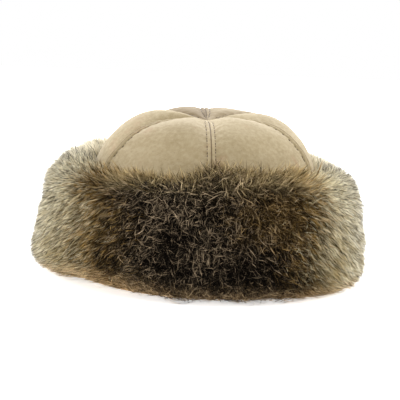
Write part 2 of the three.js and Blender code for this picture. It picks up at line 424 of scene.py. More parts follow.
# How each pattern or attribute becomes a share of its colour: a Map Range's inputs, from 1 to 2 into 3 to 4
CLOUD_SHARE = {1: 0.38, 2: 0.66}
NAP_SHARE = {1: 0.38, 2: 0.66, 4: 0.8}
BLUSH_SHARE = {1: 0.56, 2: 0.72, 4: 0.6}
SPECK_SHARE = {1: 0.05, 2: 0.11, 3: 0.45, 4: 0.0}
GORE_SHADE_SHARE = {1: 0.0, 2: 0.5, 3: 0.55, 4: 0.0}
CREASE_SHARE = {1: 0.0, 2: 1.0}
JOINT_SHARE = {1: 0.25, 2: 0.85, 3: 0.8, 4: 0.0}


def sueded_lambskin():
    """The suede's colour in layers, each laid over the one before by a pattern or by a fact of the mesh,
    with the bumps of its nap and grain."""
    material, tree = new_material("sueded_lambskin")
    where = add(tree, "ShaderNodeTexCoord").outputs["Object"]
    cloud = add(tree, "ShaderNodeTexNoise",
                {"Vector": where, "Scale": 1 / CLOUD_SIZE, "Detail": 3, "Roughness": 0.55})
    nap_and_painted_shade = add(tree, "ShaderNodeTexNoise",
              {"Vector": where, "Scale": 1 / NAP_SIZE, "Detail": 4, "Roughness": 0.7})
    grain = add(tree, "ShaderNodeTexNoise",
                {"Vector": where, "Scale": 1 / GRAIN_SIZE, "Detail": 2, "Roughness": 0.6})
    speck = add(tree, "ShaderNodeTexVoronoi",
                {"Vector": where, "Scale": 1 / SPECK_SPACING, "Randomness": 1})
    blush = add(tree, "ShaderNodeTexNoise",
                {"Vector": where, "Scale": 1 / BLUSH_SIZE, "Detail": 5, "Roughness": 0.65})
    gore_shade, crease_shade, joint = (
        add(tree, "ShaderNodeAttribute", attribute_name=fact).outputs["Fac"]
        for fact in ("nap_and_painted_shade", "crease_shade", "from_joint")
    )
    colour = linear(SUEDE_SHADE)
    for pattern, share, tint in (
        (cloud.outputs[0], CLOUD_SHARE, SUEDE_COLOUR),
        (nap_and_painted_shade.outputs[0], NAP_SHARE, SUEDE_PALE),
        (blush.outputs[0], BLUSH_SHARE, SUEDE_BLUSH),
        (speck.outputs["Distance"], SPECK_SHARE, SUEDE_SPECK),
        # Painted shade: whole gores, the back ones most, then strips beside the back gores' seams
        (gore_shade, GORE_SHADE_SHARE, SUEDE_PAINTED_SHADE),
        (crease_shade, CREASE_SHARE, SUEDE_PAINTED_SHADE),
        (joint, JOINT_SHARE, SEAM_SHADE),
    ):
        part = add(tree, "ShaderNodeMapRange", {0: pattern, **share})
        layer = add(tree, "ShaderNodeMix", {0: part.outputs[0], 6: colour, 7: linear(tint)}, data_type="RGBA")
        colour = layer.outputs[2]
    fine = add(tree, "ShaderNodeBump", {"Height": grain.outputs[0], "Strength": 0.35, "Distance": 0.0003})
    coarse = add(tree, "ShaderNodeBump", {
        "Height": nap_and_painted_shade.outputs[0],
        "Strength": 0.25,
        "Distance": 0.0006,
        "Normal": fine.outputs[0],
    })
    surface = add(tree, "ShaderNodeBsdfPrincipled", {
        "Base Color": colour,
        "Roughness": 0.95,
        "Specular IOR Level": 0.2,
        "Sheen Weight": 0.18,
        "Sheen Roughness": 0.6,
        "Normal": coarse.outputs[0],
    })
    add(tree, "ShaderNodeOutputMaterial", {"Surface": surface.outputs[0]})
    return material


suede = sueded_lambskin()
for gore_seam in range(len(GORES)):
    make_gore(gore_seam).data.materials.append(suede)


# Topstitching: two rows of brown polyester thread along every seam, one on each side of the joint, worked
# through suede and turning. Each stitch lies on the leather and dives into it at both ends.
STITCH_PITCH = 3.5
STITCH_LENGTH = 3.1
STITCH_RADIUS = 0.4
STITCH_SIDES = 5
STITCH_RINGS = np.array([-1, -0.85, -0.4, 0.4, 0.85, 1])
STITCH_GIRTH = np.array([0, 0.75, 1, 1, 0.75, 0])
# How high the stitch's middle stands and how much lower its ends lie, in radii
STITCH_MIDDLE = 0.9
STITCH_FALL = 1.6
STITCH_SLANT = 0.06
STITCH_SEED = 11
STITCH_FROM_ROW = 0.8
STITCH_TO_ROW = 11.2
SEAM_SAMPLES = 400
HEADING_REACH = 0.5
THREAD_COLOUR = 0x5A4326
# Painted shade for the thread's twist
THREAD_PAINTED_SHADE = 0x382814
THREAD_TWIST = 0.0009


def stitch_line(seam, side):
    """Points, directions and outward normals of the stitches beside a seam. side is 1 on the gore that
    begins at the seam and -1 on the one that ends there."""
    gore = seam if side > 0 else (seam - 1) % len(GORES)
    row = np.linspace(STITCH_FROM_ROW, STITCH_TO_ROW, SEAM_SAMPLES)
    half = half_chord(gore, row)
    zone = seam_zone(half)
    points, normals = crown_wall(gore, -side * (1 - BAND_HALF_WIDTH * zone / half), row)
    length = path_length(points)
    centre = np.arange(STITCH_PITCH / 2, length[-1], STITCH_PITCH)

    def at(values, where):
        return np.stack([np.interp(where, length, values[:, axis]) for axis in range(3)], 1)

    direction = unit(at(points, centre + HEADING_REACH) - at(points, centre - HEADING_REACH))
    normal = unit(at(normals, centre))
    lift = (BAND_RISE / 2 - STITCH_DENT) * np.interp(centre, length, zone)[:, None]
    return at(points, centre) + normal * lift, direction, normal


def stitch_triangles():
    """The triangles of one stitch, whose first and last ring are each one point."""
    rings = len(STITCH_RINGS)
    side = np.arange(STITCH_SIDES)
    ring_start = np.arange(rings - 1)[:, None] * STITCH_SIDES
    here = ring_start + side
    beside = ring_start + (side + 1) % STITCH_SIDES
    first = np.stack([here, here + STITCH_SIDES, beside + STITCH_SIDES], -1)[:-1].reshape(-1, 3)
    second = np.stack([here, beside + STITCH_SIDES, beside], -1)[1:].reshape(-1, 3)
    end = np.arange(rings * STITCH_SIDES)
    end[:STITCH_SIDES] = 0
    end[-STITCH_SIDES:] = (rings - 1) * STITCH_SIDES
    return end[np.concatenate([first, second])]


def make_stitches():
    """All the stitches as one mesh: each a tube of a few sides round a line that is bowed like a parabola,
    highest in the middle, and closed to a point at both ends."""
    lines = [stitch_line(seam, side) for seam in range(len(GORES)) for side in (1, -1)]
    centre, direction, normal = (np.concatenate(part) for part in zip(*lines))
    slant = np.random.default_rng(STITCH_SEED).normal(0, STITCH_SLANT, (len(centre), 1))
    direction = unit(direction + np.cross(direction, normal) * slant)
    across = unit(np.cross(direction, normal))
    angle = np.arange(STITCH_SIDES) * 2 * np.pi / STITCH_SIDES
    along = STITCH_RINGS * STITCH_LENGTH / 2
    bow = STITCH_RADIUS * (STITCH_MIDDLE - STITCH_FALL * STITCH_RINGS**2)
    ring = STITCH_RADIUS * STITCH_GIRTH
    points = (
        centre[:, None, None]
        + direction[:, None, None] * along[:, None, None]
        + normal[:, None, None] * (bow[:, None, None] + (ring[:, None] * np.sin(angle))[..., None])
        + across[:, None, None] * (ring[:, None] * np.cos(angle))[..., None]
    ).reshape(-1, 3)
    points_each = len(STITCH_RINGS) * STITCH_SIDES
    triangles = (np.arange(len(centre))[:, None, None] * points_each + stitch_triangles()).reshape(-1, 3)
    used, triangles = join_points(triangles, np.arange(len(points)))
    stitches = add_mesh("topstitching", points[used] + middle, triangles)
    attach(stitches, "root")
    return stitches


def polyester_thread():
    """Spun polyester: dull brown, with noise that paints shade as if between the turns of its twist."""
    material, tree = new_material("spun_polyester_thread")
    where = add(tree, "ShaderNodeTexCoord").outputs["Object"]
    twist = add(tree, "ShaderNodeTexNoise", {"Vector": where, "Scale": 1 / THREAD_TWIST, "Detail": 1})
    colour = add(tree, "ShaderNodeMix",
                 {0: twist.outputs[0], 6: linear(THREAD_PAINTED_SHADE), 7: linear(THREAD_COLOUR)}, data_type="RGBA")
    surface = add(tree, "ShaderNodeBsdfPrincipled",
                  {"Base Color": colour.outputs[2], "Roughness": 0.7, "Sheen Weight": 0.1})
    add(tree, "ShaderNodeOutputMaterial", {"Surface": surface.outputs[0]})
    return material


make_stitches().data.materials.append(polyester_thread())


# Cuff skin: the pelt's own leather, tanned and left undyed, a band up the outside of the crown with its lower
# edge turned in under the hem. It shows only from below, at the lip.
PELT_COLOUR = 0xD8CCB2
PELT_SHADE = 0xB9A988
PELT_CLOUD = 0.012
PELT_FIBRE = 0.0012


def tanned_pelt():
    """The flesh side of a dressed pelt: chalky cream, matt, with uneven clouds and short fibres."""
    material, tree = new_material("tanned_pelt")
    where = add(tree, "ShaderNodeTexCoord").outputs["Object"]
    cloud = add(tree, "ShaderNodeTexNoise", {"Vector": where, "Scale": 1 / PELT_CLOUD, "Detail": 4})
    fibre = add(tree, "ShaderNodeTexNoise", {"Vector": where, "Scale": 1 / PELT_FIBRE, "Detail": 2})
    colour = add(tree, "ShaderNodeMix",
                 {0: cloud.outputs[0], 6: linear(PELT_SHADE), 7: linear(PELT_COLOUR)}, data_type="RGBA")
    bump = add(tree, "ShaderNodeBump", {"Height": fibre.outputs[0], "Strength": 0.4, "Distance": 0.0004})
    surface = add(tree, "ShaderNodeBsdfPrincipled", {
        "Base Color": colour.outputs[2],
        "Roughness": 0.9,
        "Specular IOR Level": 0.2,
        "Sheen Weight": 0.1,
        "Normal": bump.outputs[0],
    })
    add(tree, "ShaderNodeOutputMaterial", {"Surface": surface.outputs[0]})
    return material


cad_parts["cuff_skin"].data.materials.clear()
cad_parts["cuff_skin"].data.materials.append(tanned_pelt())


# Underfur: the dense short wool that fills the pile between its long hairs. It is one lumpy body that lies
# well inside the fur's outer form, dark in the front panel and lighter at the sides and back.
UNDERFUR_STEPS = 200
UNDERFUR_ROWS = 46
UNDERFUR_FACE_LAST = 13.5
UNDERFUR_BACK_FROM = 14
UNDERFUR_LUMP = 1.6
UNDERFUR_LUMP_SIZE = 14.0
UNDERFUR_LUMP_SEED = 21
UNDERFUR_LUMP_FROM = (2, 4)
UNDERFUR_LUMP_UNTIL = (11, 13)
# The fur's outer form, as distance from the crown's wall and height, from under the rim up the face and over
# the top to the crown
PILE_FACE = [
    (-6, 0),
    (14, 0),
    (25, 2),
    (35, 5.5),
    (42, 11),
    (46, 19),
    (46, 31),
    (45, 45),
    (43.5, 60),
    (41.5, 74),
    (37.5, 85),
    (31, 94),
    (21, 100),
    (11, 102),
    (4, 99.5),
    (0.6, 94),
]
# azimuth, lift of the top edge, spread of the face, tuck of the lower corner
PILE_STATIONS = np.array([
    (0, -1, 0, 0.8),
    (45, -1, -1, 0.55),
    (90, -3, -5, 0.55),
    (135, 4, -1, 0.9),
    (180, 3, 0, 1),
    (225, 6.5, 1, 0.8),
    (270, 2, 1.5, 0.5),
    (315, -5, 0, 1.6),
    (FULL_TURN, -1, 0, 0.8),
])
PILE_LUMP = 1.2
# swing, waves round the hat, phase: how the face swells and sinks
PILE_WAVES = [(1.0, 5, 0.6), (0.6, 9, 2.1)]
LIFT_FROM = 70.0
LIFT_FULL = 100.0
TUCK_UNTIL = 31.0
SPREAD_FULL_HEIGHT = 15.0
SPREAD_FROM_OUT = 3.0
SPREAD_FULL_OUT = 25.0
# The rim hangs a little clear of the ground along the front, most at the left: azimuth, height
RIM_RAISES = np.array([
    (-180, 0),
    (-135, 0),
    (-90, 5),
    (-50, 5.5),
    (-12, 2.2),
    (60, 1.8),
    (105, 0),
    (180, 0),
])
RIM_RAISE_FROM_OUT = 5.0
RIM_RAISE_FULL_OUT = 20.0
# The underfur's section, in the same terms
UNDERFUR_FACE = [
    (-5.6, 0.9),
    (9, 1.1),
    (18, 5),
    (26, 11),
    (32, 19),
    (34.5, 30),
    (34.5, 45),
    (33, 60),
    (30.5, 72),
    (26, 81),
    (19, 87.5),
    (12, 90.5),
    (6, 91),
    (2, 88.5),
    (0.7, 84.9),
    (2.8, 84.6),
    (2.8, 2.65),
    (-5.6, 2.65),
]
# The dark panel: its edges by azimuth at the foot and the top of the cuff, and how softly it ends
DARK_LEFT_FOOT = -38.0
DARK_LEFT_TOP = -49.0
DARK_RIGHT_FOOT = 35.0
DARK_RIGHT_TOP = 39.0
DARK_SOFT_LEFT = 16.0
DARK_SOFT_RIGHT = 12.0
# swing, length, phase: how both edges wander with height
DARK_WAVES = [(2.5, 9, 1), (1.5, 4.3, 0)]
# The brown patch in the dark panel, right of its middle: place, half sizes and strength
PATCH_AZIMUTH = 21.0
PATCH_AZIMUTH_HALF = 17.0
PATCH_HEIGHT = 68.0
PATCH_HEIGHT_HALF = 34.0
PATCH_STRENGTH = 0.2
PATCH_CORE = 0.3
CUFF_HEIGHT = 100.0


def around(azimuth):
    """Lift, spread and tuck at azimuths, eased between the stations by 3t^2 - 2t^3."""
    turn = np.mod(azimuth, FULL_TURN)
    station = np.clip(np.searchsorted(PILE_STATIONS[:, 0], turn, side="right") - 1, 0, len(PILE_STATIONS) - 2)
    here, there = PILE_STATIONS[station], PILE_STATIONS[station + 1]
    share = smoothstep(turn, here[..., 0], there[..., 0])[..., None]
    return np.moveaxis(here + (there - here) * share, -1, 0)[1:]


def beside_oval(azimuth, out, height):
    """Points that stand off the oval of the crown's hem by a distance out along its normal."""
    on_oval = oval_point(azimuth)
    points = on_oval + oval_normal(on_oval) * out[..., None]
    points[..., 2] = height
    return points


def signed(azimuth):
    """The azimuth from -180 to 180."""
    return np.mod(azimuth + FULL_TURN / 2, FULL_TURN) - FULL_TURN / 2


def pile_point(azimuth, out, height):
    """A point of the pile by distance from the crown's wall and height: spread by the stations and by slow
    waves away from the crown and the underside, its lower corner tucked, its top edge lifted, and its rim
    raised along the front."""
    angle = np.radians(azimuth)
    lift, spread, tuck = around(azimuth)
    share = smoothstep(out, SPREAD_FROM_OUT, SPREAD_FULL_OUT) * smoothstep(height, 0, SPREAD_FULL_HEIGHT)
    waves = sum(swing * np.sin(count * angle + phase) for swing, count, phase in PILE_WAVES)
    spread = spread + PILE_LUMP * waves
    tuck = tuck + (1 - tuck) * smoothstep(height, 0, TUCK_UNTIL)
    lift = lift * smoothstep(height, LIFT_FROM, LIFT_FULL)
    raised = np.interp(signed(azimuth), *RIM_RAISES.T)
    low = smoothstep(out, RIM_RAISE_FROM_OUT, RIM_RAISE_FULL_OUT) * (1 - smoothstep(height, 0, TUCK_UNTIL))
    return beside_oval(azimuth, out + spread * share, height * tuck + lift + raised * low)


def patch_share(azimuth, height):
    """1 in the middle of the brown patch and 0 outside it, eased by the distance in half sizes."""
    across = (signed(azimuth) - PATCH_AZIMUTH) / PATCH_AZIMUTH_HALF
    return 1 - smoothstep(np.hypot(across, (height - PATCH_HEIGHT) / PATCH_HEIGHT_HALF), PATCH_CORE, 1)


def paleness(azimuth, height):
    """0 in the dark panel at the front and 1 outside it, eased across its soft edges, which wander."""
    turn = signed(azimuth)
    share = np.clip(height / CUFF_HEIGHT, 0, 1)
    wander = sum(swing * np.sin(height / length + phase) for swing, length, phase in DARK_WAVES)
    left = DARK_LEFT_FOOT + (DARK_LEFT_TOP - DARK_LEFT_FOOT) * share + wander
    right = DARK_RIGHT_FOOT + (DARK_RIGHT_TOP - DARK_RIGHT_FOOT) * share + wander
    sides = np.maximum(smoothstep(turn, right - DARK_SOFT_RIGHT, right + DARK_SOFT_RIGHT),
                       smoothstep(-turn, -left - DARK_SOFT_LEFT, -left + DARK_SOFT_LEFT))
    return np.maximum(sides, PATCH_STRENGTH * patch_share(azimuth, height))


def make_underfur():
    """A closed ring: the section's rows, smooth over the face and straight behind it, carried round the hat,
    with lumps that fade where it meets the skin."""
    face = np.linspace(0, UNDERFUR_FACE_LAST, UNDERFUR_ROWS)
    row = np.concatenate([face, np.arange(UNDERFUR_BACK_FROM, len(UNDERFUR_FACE))])
    back = np.array(UNDERFUR_FACE, float)[UNDERFUR_BACK_FROM:]
    section = np.concatenate([along_rows(UNDERFUR_FACE, face), back])
    azimuth = np.linspace(0, FULL_TURN, UNDERFUR_STEPS, endpoint=False)
    azimuths, outs = np.meshgrid(azimuth, section[:, 0])
    heights = np.meshgrid(azimuth, section[:, 1])[1]
    rows = np.meshgrid(azimuth, row)[1]
    points = pile_point(azimuths, outs, heights)
    lump = UNDERFUR_LUMP * ripple(points, UNDERFUR_LUMP_SIZE, UNDERFUR_LUMP_SEED)
    lump = lump * smoothstep(rows, *UNDERFUR_LUMP_FROM) * (1 - smoothstep(rows, *UNDERFUR_LUMP_UNTIL))
    points = points + oval_normal(points * np.array([1, 1, 0])) * lump[..., None]
    ring = np.concatenate([points, points[:1]])
    closed = np.concatenate([ring, ring[:, :1]], 1)
    count_rows, count_columns = closed.shape[:2]
    triangles = grid_triangles(count_rows, count_columns)
    number = np.arange(count_rows * count_columns).reshape(count_rows, count_columns)
    number[-1] = number[0]
    number[:, -1] = number[:, 0]
    used, packed = np.unique(number.ravel()[triangles], return_inverse=True)
    stacked = closed.reshape(-1, 3)[used]
    pale = paleness(np.degrees(np.arctan2(stacked[:, 0], -stacked[:, 1])), stacked[:, 2])
    underfur = add_mesh("underfur", stacked + middle, packed.reshape(-1, 3)[:, ::-1], {"pale": pale})
    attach(underfur, "root")
    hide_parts("cuff_fur")
    return underfur


UNDERFUR_DARK = 0x080503
UNDERFUR_PALE = 0x7A6B4C
UNDERFUR_CURL = 0.0025


def matted_underfur():
    """Dense wool seen down between the hairs: almost black in the dark panel and a dull olive brown
    elsewhere, with no gloss."""
    material, tree = new_material("matted_underfur")
    where = add(tree, "ShaderNodeTexCoord").outputs["Object"]
    pale = add(tree, "ShaderNodeAttribute", attribute_name="pale").outputs["Fac"]
    curl = add(tree, "ShaderNodeTexNoise", {"Vector": where, "Scale": 1 / UNDERFUR_CURL, "Detail": 4})
    colour = add(tree, "ShaderNodeMix",
                 {0: pale, 6: linear(UNDERFUR_DARK), 7: linear(UNDERFUR_PALE)}, data_type="RGBA")
    shade = add(tree, "ShaderNodeMapRange", {0: curl.outputs[0], 1: 0.3, 2: 0.7, 3: 0.5, 4: 0.0})
    mottled = add(tree, "ShaderNodeMix",
                  {0: shade.outputs[0], 6: colour.outputs[2], 7: linear(UNDERFUR_DARK)}, data_type="RGBA")
    bump = add(tree, "ShaderNodeBump", {"Height": curl.outputs[0], "Strength": 0.8, "Distance": 0.0015})
    surface = add(tree, "ShaderNodeBsdfPrincipled", {
        "Base Color": mottled.outputs[2],
        "Roughness": 1.0,
        "Specular IOR Level": 0.1,
        "Normal": bump.outputs[0],
    })
    add(tree, "ShaderNodeOutputMaterial", {"Surface": surface.outputs[0]})
    return material


make_underfur().data.materials.append(matted_underfur())


# Fur: the pelt's long hair, in small locks. At the front it curls every way, with grey-brown ends over
# near-black roots. At the sides and back it is paler, lies outwards and down, and has fine dark guard hairs.
# Each blade here stands for several hairs and is about half a millimetre wide.
# name, first azimuth, last azimuth, locks, rows along a hair
FUR_PANELS = [
    ("fur_front_left", -36, 0, 3800, (0, 0.45, 0.76, 1)),
    ("fur_front_right", 0, 36, 3800, (0, 0.45, 0.76, 1)),
    ("fur_left", -108, -36, 5000, (0, 0.6, 1)),
    ("fur_right", 36, 108, 5000, (0, 0.6, 1)),
    ("fur_back_left", -180, -108, 3500, (0, 0.6, 1)),
    ("fur_back_right", 108, 180, 3500, (0, 0.6, 1)),
]
HAIRS_IN_LOCK = 10
LOCK_SPREAD = 0.6
WILD_LOCK_SPREAD = 2.6
# How the hair lies at each row of PILE_FACE: its level outward share and its upward share
PILE_LAY = [
    (1, 0.05),
    (1, 0),
    (1, -0.05),
    (0.97, -0.2),
    (0.93, -0.36),
    (0.88, -0.46),
    (0.87, -0.48),
    (0.88, -0.46),
    (0.92, -0.4),
    (0.96, -0.22),
    (0.97, 0.1),
    (0.8, 0.5),
    (0.5, 0.85),
    (0.2, 1),
    (0.05, 1),
    (0, 1),
]
# The share of hair that each row of PILE_FACE gets for its length
PILE_DENSITY = [0.3, 0.5, 0.8, 1, 1, 1, 1, 1, 1, 1, 1.1, 1.2, 1.3, 1.3, 1.2, 1]
HAIR_LENGTH = (15.0, 21.0)
GUARD_SHARE = 0.2
GUARD_EXTRA = (1.5, 8.0)
LOCK_RELIEF = 0.9
WILD_LOCK_RELIEF = 0.7
MEAN_RELIEF = -2.6
STRAY_RELIEF = 1.4
STRAY_RELIEF_MOST = 6.0
# azimuth, how far the fringe's dense part lies below the outer form there
FRINGE_EDGE = np.array([
    (-60, 3),
    (-45, 5),
    (-30, 6.5),
    (-16, 12.5),
    (-9, 11),
    (-4, 3),
    (3, -1),
    (9, 3),
    (18, 6),
    (28, 3),
    (40, 3),
    (55, 3),
])
FRINGE_KEEP = 0.8
FRINGE_WISP_SHARE = 0.4
FRINGE_WISP = (4.0, 19.0)
FRINGE_FAN = 0.7
LAY_STEEPER = 0.22
LAY_STEEPER_RIGHT = 0.15
# The longer hair low on both sides: azimuth, half width of the bump, extra length
FLARES = [
    (-80.0, 50.0, 3.0),
    (72.0, 45.0, 1.0),
]
FLARE_FROM_ROW = 5.0
FLARE_TO_ROW = 8.5
RIM_STRAY = 0.3
RIM_WISP = 2.4
RIM_WISP_MOST = 5.0
BROAD_RELIEF = 1.6
BROAD_RELIEF_SIZE = 30.0
HAIR_WIDTH = (0.4, 0.75)
BOW = 2.2
PINCH = (0.2, 0.65)
WILD_PINCH = 0.55
FLOOR_CLEARANCE = 0.2
PANEL_CURL_WITHIN = 10.0
PANEL_CURL_UNTIL = 46.0
FRONT_FAN = 0.3
FRONT_WITHIN = 34.0
FRONT_UNTIL = 52.0
# Steps over which the form's directions are taken
FRAME_TURN = 0.4
FRAME_ROWS = 0.05
SHORTEST_ROW = 3
# Rows of PILE_FACE from which and up to which something sets in or fades
FRINGE_ROWS = (9.5, 12)
RIM_FROM = (1.2, 2.2)
RIM_UNTIL = (2.5, 4.5)
OPEN_AIR_ROWS = (1.0, 2.6)
EXTRA_ROWS = (0.5, 2)
WILD_LAY_LESS = 0.5
STRAY = 0.13
WILD_STRAY = 0.44
LOCK_STRAY = 0.17
WILD_LOCK_STRAY = 0.28
OWN_RELIEF = 0.8
BROAD_RELIEF_SEED = 31
BOW_SHARE = (0.4, 1.3)
CURL = 0.7
WILD_CURL = 2.0
RIM_CURL_SHARE = 0.3
CURL_SHARE = (0.4, 1.5)
CURL_TURN = 5
CURL_GROWTH = 1.3
BLADE_TURN = 0.35
BLADE_TAPER = 0.35
# A blade's outline in its UV cell
CELL_SIDES = (0.1, 0.9)
CELL_FOOT = 0.05
CELL_RISE = 0.85
CELL_END = (0.5, 0.95)
# The two steps of a plane-filling sequence, which spreads points evenly
EVEN_STEP_ACROSS = 0.7548776662
EVEN_STEP_UP = 0.5698402910


def pile_form(azimuth, row):
    """The fur's outer form at azimuths and fractional rows of PILE_FACE."""
    out, height = np.moveaxis(along_rows(PILE_FACE, row), -1, 0)
    return pile_point(azimuth, out, height)


def pile_frame(azimuth, row):
    """The outer form's point, its level tangent, its tangent up the face and its outward normal."""
    last = len(PILE_FACE) - 1
    level = unit(pile_form(azimuth + FRAME_TURN, row) - pile_form(azimuth - FRAME_TURN, row))
    above = pile_form(azimuth, np.clip(row + FRAME_ROWS, 0, last))
    below = pile_form(azimuth, np.clip(row - FRAME_ROWS, 0, last))
    up = unit(above - below)
    return pile_form(azimuth, row), level, up, unit(np.cross(level, up))


def lock_places(first, last, count):
    """Azimuths and rows of locks, spread evenly by area and by each row's density of hair."""
    number = np.arange(count)
    across = np.mod(0.5 + number * EVEN_STEP_ACROSS, 1)
    up = np.mod(0.5 + number * EVEN_STEP_UP, 1)
    face = np.array(PILE_FACE, float)
    steps = np.linalg.norm(np.diff(face, axis=0), axis=1)
    weights = steps * (np.array(PILE_DENSITY[1:]) + np.array(PILE_DENSITY[:-1])) / 2
    share = np.concatenate([[0], np.cumsum(weights)]) / weights.sum()
    return first + (last - first) * across, np.interp(up, share, np.arange(len(face)))


def hair_lines(azimuth, row, shares, draw):
    """The lines of all hairs, and facts of each. A hair starts below the underfur's surface and ends near
    the outer form: the middle of its line is bowed outwards by 4 s (1 - s), its end is drawn to its lock's,
    and a turning offset that grows with s curls it."""
    locks = len(azimuth)
    shape = (locks, HAIRS_IN_LOCK)
    last = len(PILE_FACE) - 1
    point = pile_form(azimuth, row)
    lock_wild = 1 - smoothstep(np.abs(azimuth), PANEL_CURL_WITHIN, PANEL_CURL_UNTIL)
    lock_spread = LOCK_SPREAD + (WILD_LOCK_SPREAD - LOCK_SPREAD) * lock_wild
    spread = draw.normal(0, 1, (*shape, 2)) * lock_spread[:, None, None]
    step_azimuth = np.degrees(spread[..., 0] / np.linalg.norm(point[:, None, :2], axis=-1))
    above = pile_form(azimuth, np.minimum(row + 0.5, last))
    below = pile_form(azimuth, np.maximum(row - 0.5, 0))
    row_step = np.maximum(np.linalg.norm(above - below, axis=1), SHORTEST_ROW)
    hair_azimuth = azimuth[:, None] + step_azimuth
    hair_row = np.clip(row[:, None] + spread[..., 1] / row_step[:, None], 0, last)
    tip, level, up, normal = pile_frame(hair_azimuth, hair_row)
    wild = 1 - smoothstep(np.abs(hair_azimuth), PANEL_CURL_WITHIN, PANEL_CURL_UNTIL)
    front = 1 - smoothstep(np.abs(hair_azimuth), FRONT_WITHIN, FRONT_UNTIL)
    fringe = front * smoothstep(hair_row, *FRINGE_ROWS)
    lay = along_rows(PILE_LAY, hair_row)
    outward = oval_normal(tip * np.array([1, 1, 0]))
    combed = outward * lay[..., :1]
    steeper = 1 + LAY_STEEPER * (1 - wild) + LAY_STEEPER_RIGHT * np.sin(np.radians(hair_azimuth))
    combed[..., 2] = lay[..., 1] * np.where(lay[..., 1] < 0, steeper * (1 - WILD_LAY_LESS * wild), 1)
    at_rim = smoothstep(hair_row, *RIM_FROM) * (1 - smoothstep(hair_row, *RIM_UNTIL))
    stray = STRAY + WILD_STRAY * wild + RIM_STRAY * at_rim
    lock_stray = draw.normal(0, 1, (locks, 1, 2)) * (LOCK_STRAY + WILD_LOCK_STRAY * wild)[..., None]
    own_stray = draw.normal(0, 1, (*shape, 2)) * stray[..., None]
    sway = lock_stray + own_stray
    turn = np.radians(hair_azimuth)
    front_fan = FRONT_FAN * np.sin(2 * turn) * (np.abs(turn) < np.pi / 2)
    fan = (FRINGE_FAN * fringe * np.sin(turn) + front_fan)[..., None]
    direction = unit(unit(combed) + level * (sway[..., :1] + fan) + up * sway[..., 1:])
    lock_relief = LOCK_RELIEF + WILD_LOCK_RELIEF * wild
    relief = MEAN_RELIEF + lock_relief * draw.normal(0, 1, (locks, 1)) + draw.normal(0, OWN_RELIEF, shape)
    relief = relief + np.minimum(draw.exponential(STRAY_RELIEF, shape), STRAY_RELIEF_MOST) - STRAY_RELIEF
    relief = relief + BROAD_RELIEF * ripple(tip, BROAD_RELIEF_SIZE, BROAD_RELIEF_SEED)
    relief = relief - fringe * np.interp(hair_azimuth, *FRINGE_EDGE.T)
    low = 1 - smoothstep(hair_row, FLARE_FROM_ROW, FLARE_TO_ROW)
    for flare_azimuth, flare_half, flare in FLARES:
        inside = flare_half - np.abs(hair_azimuth - flare_azimuth)
        relief = relief + flare * low * smoothstep(inside, 0, flare_half)
    guard = draw.random(shape) < GUARD_SHARE
    extra = np.where(guard, draw.uniform(*GUARD_EXTRA, shape), 0)
    wisp = draw.random(shape) < FRINGE_WISP_SHARE * fringe
    extra = np.where(wisp, draw.uniform(*FRINGE_WISP, shape), extra)
    extra = extra + at_rim * np.minimum(draw.exponential(RIM_WISP, shape), RIM_WISP_MOST)
    open_air = smoothstep(hair_row, *OPEN_AIR_ROWS)
    relief = relief * open_air
    tip = tip + normal * relief[..., None]
    length = draw.uniform(*HAIR_LENGTH, shape)
    root = tip - direction * length[..., None]
    tip = tip + direction * (extra * smoothstep(hair_row, *EXTRA_ROWS))[..., None]
    lock_tip = tip.mean(1, keepdims=True)
    pinch = draw.uniform(*PINCH, (locks, 1)) * (1 - WILD_PINCH * wild)
    tip = tip + (lock_tip - tip) * pinch[..., None]
    share = np.array(shares)[:, None]
    line = root[..., None, :] + (tip - root)[..., None, :] * share
    bow = normal * (BOW * draw.uniform(*BOW_SHARE, shape) * open_air)[..., None]
    line = line + bow[..., None, :] * (4 * share * (1 - share))
    curl_start = draw.uniform(0, 2 * np.pi, shape)[..., None]
    curl_turn = curl_start + share[:, 0] * draw.uniform(-CURL_TURN, CURL_TURN, shape)[..., None]
    curl_most = (CURL + WILD_CURL * wild) * (RIM_CURL_SHARE + (1 - RIM_CURL_SHARE) * open_air)
    curl_size = (curl_most * draw.uniform(*CURL_SHARE, shape))[..., None] * share[:, 0] ** CURL_GROWTH
    line = line + level[..., None, :] * (curl_size * np.cos(curl_turn))[..., None]
    line = line + up[..., None, :] * (curl_size * np.sin(curl_turn))[..., None]
    line[..., 2] = np.maximum(line[..., 2], FLOOR_CLEARANCE)
    kept = draw.random(shape) > fringe * (1 - FRINGE_KEEP)
    lock = np.broadcast_to(np.arange(locks)[:, None], shape)
    facts = (line, normal, hair_azimuth, hair_row, wild, fringe, guard & ~wisp, wisp, lock)
    return [fact[kept] for fact in facts]


def hair_blades(line, normal, width, shares, draw):
    """A flat blade along each line that narrows to one point at its end. Its side is the cross product of
    its direction and the pile's normal, turned at random. Points are pairs for each row, then the end."""
    ahead = unit(np.gradient(line, axis=-2))
    facing = normal[..., None, :] + draw.normal(0, BLADE_TURN, (*normal.shape[:-1], 1, 3))
    side = unit(np.cross(ahead, facing))
    rows = line.shape[-2]
    taper = 1 - BLADE_TAPER * np.array(shares[:-1]) ** 2
    half = side[..., :-1, :] * (width[..., None] * taper / 2)[..., None]
    pairs = np.stack([line[..., :-1, :] - half, line[..., :-1, :] + half], -2)
    pairs = pairs.reshape(*line.shape[:-2], 2 * (rows - 1), 3)
    points = np.concatenate([pairs, line[..., -1:, :]], -2)
    points = points.reshape(-1, 2 * rows - 1, 3)
    step = 2 * np.arange(rows - 2)[:, None]
    quads = np.concatenate([step + [0, 1, 3], step + [0, 3, 2]])
    pattern = np.concatenate([quads, [[2 * rows - 4, 2 * rows - 3, 2 * rows - 2]]])
    triangles = (np.arange(len(points))[:, None, None] * (2 * rows - 1) + pattern).reshape(-1, 3)
    return points, triangles


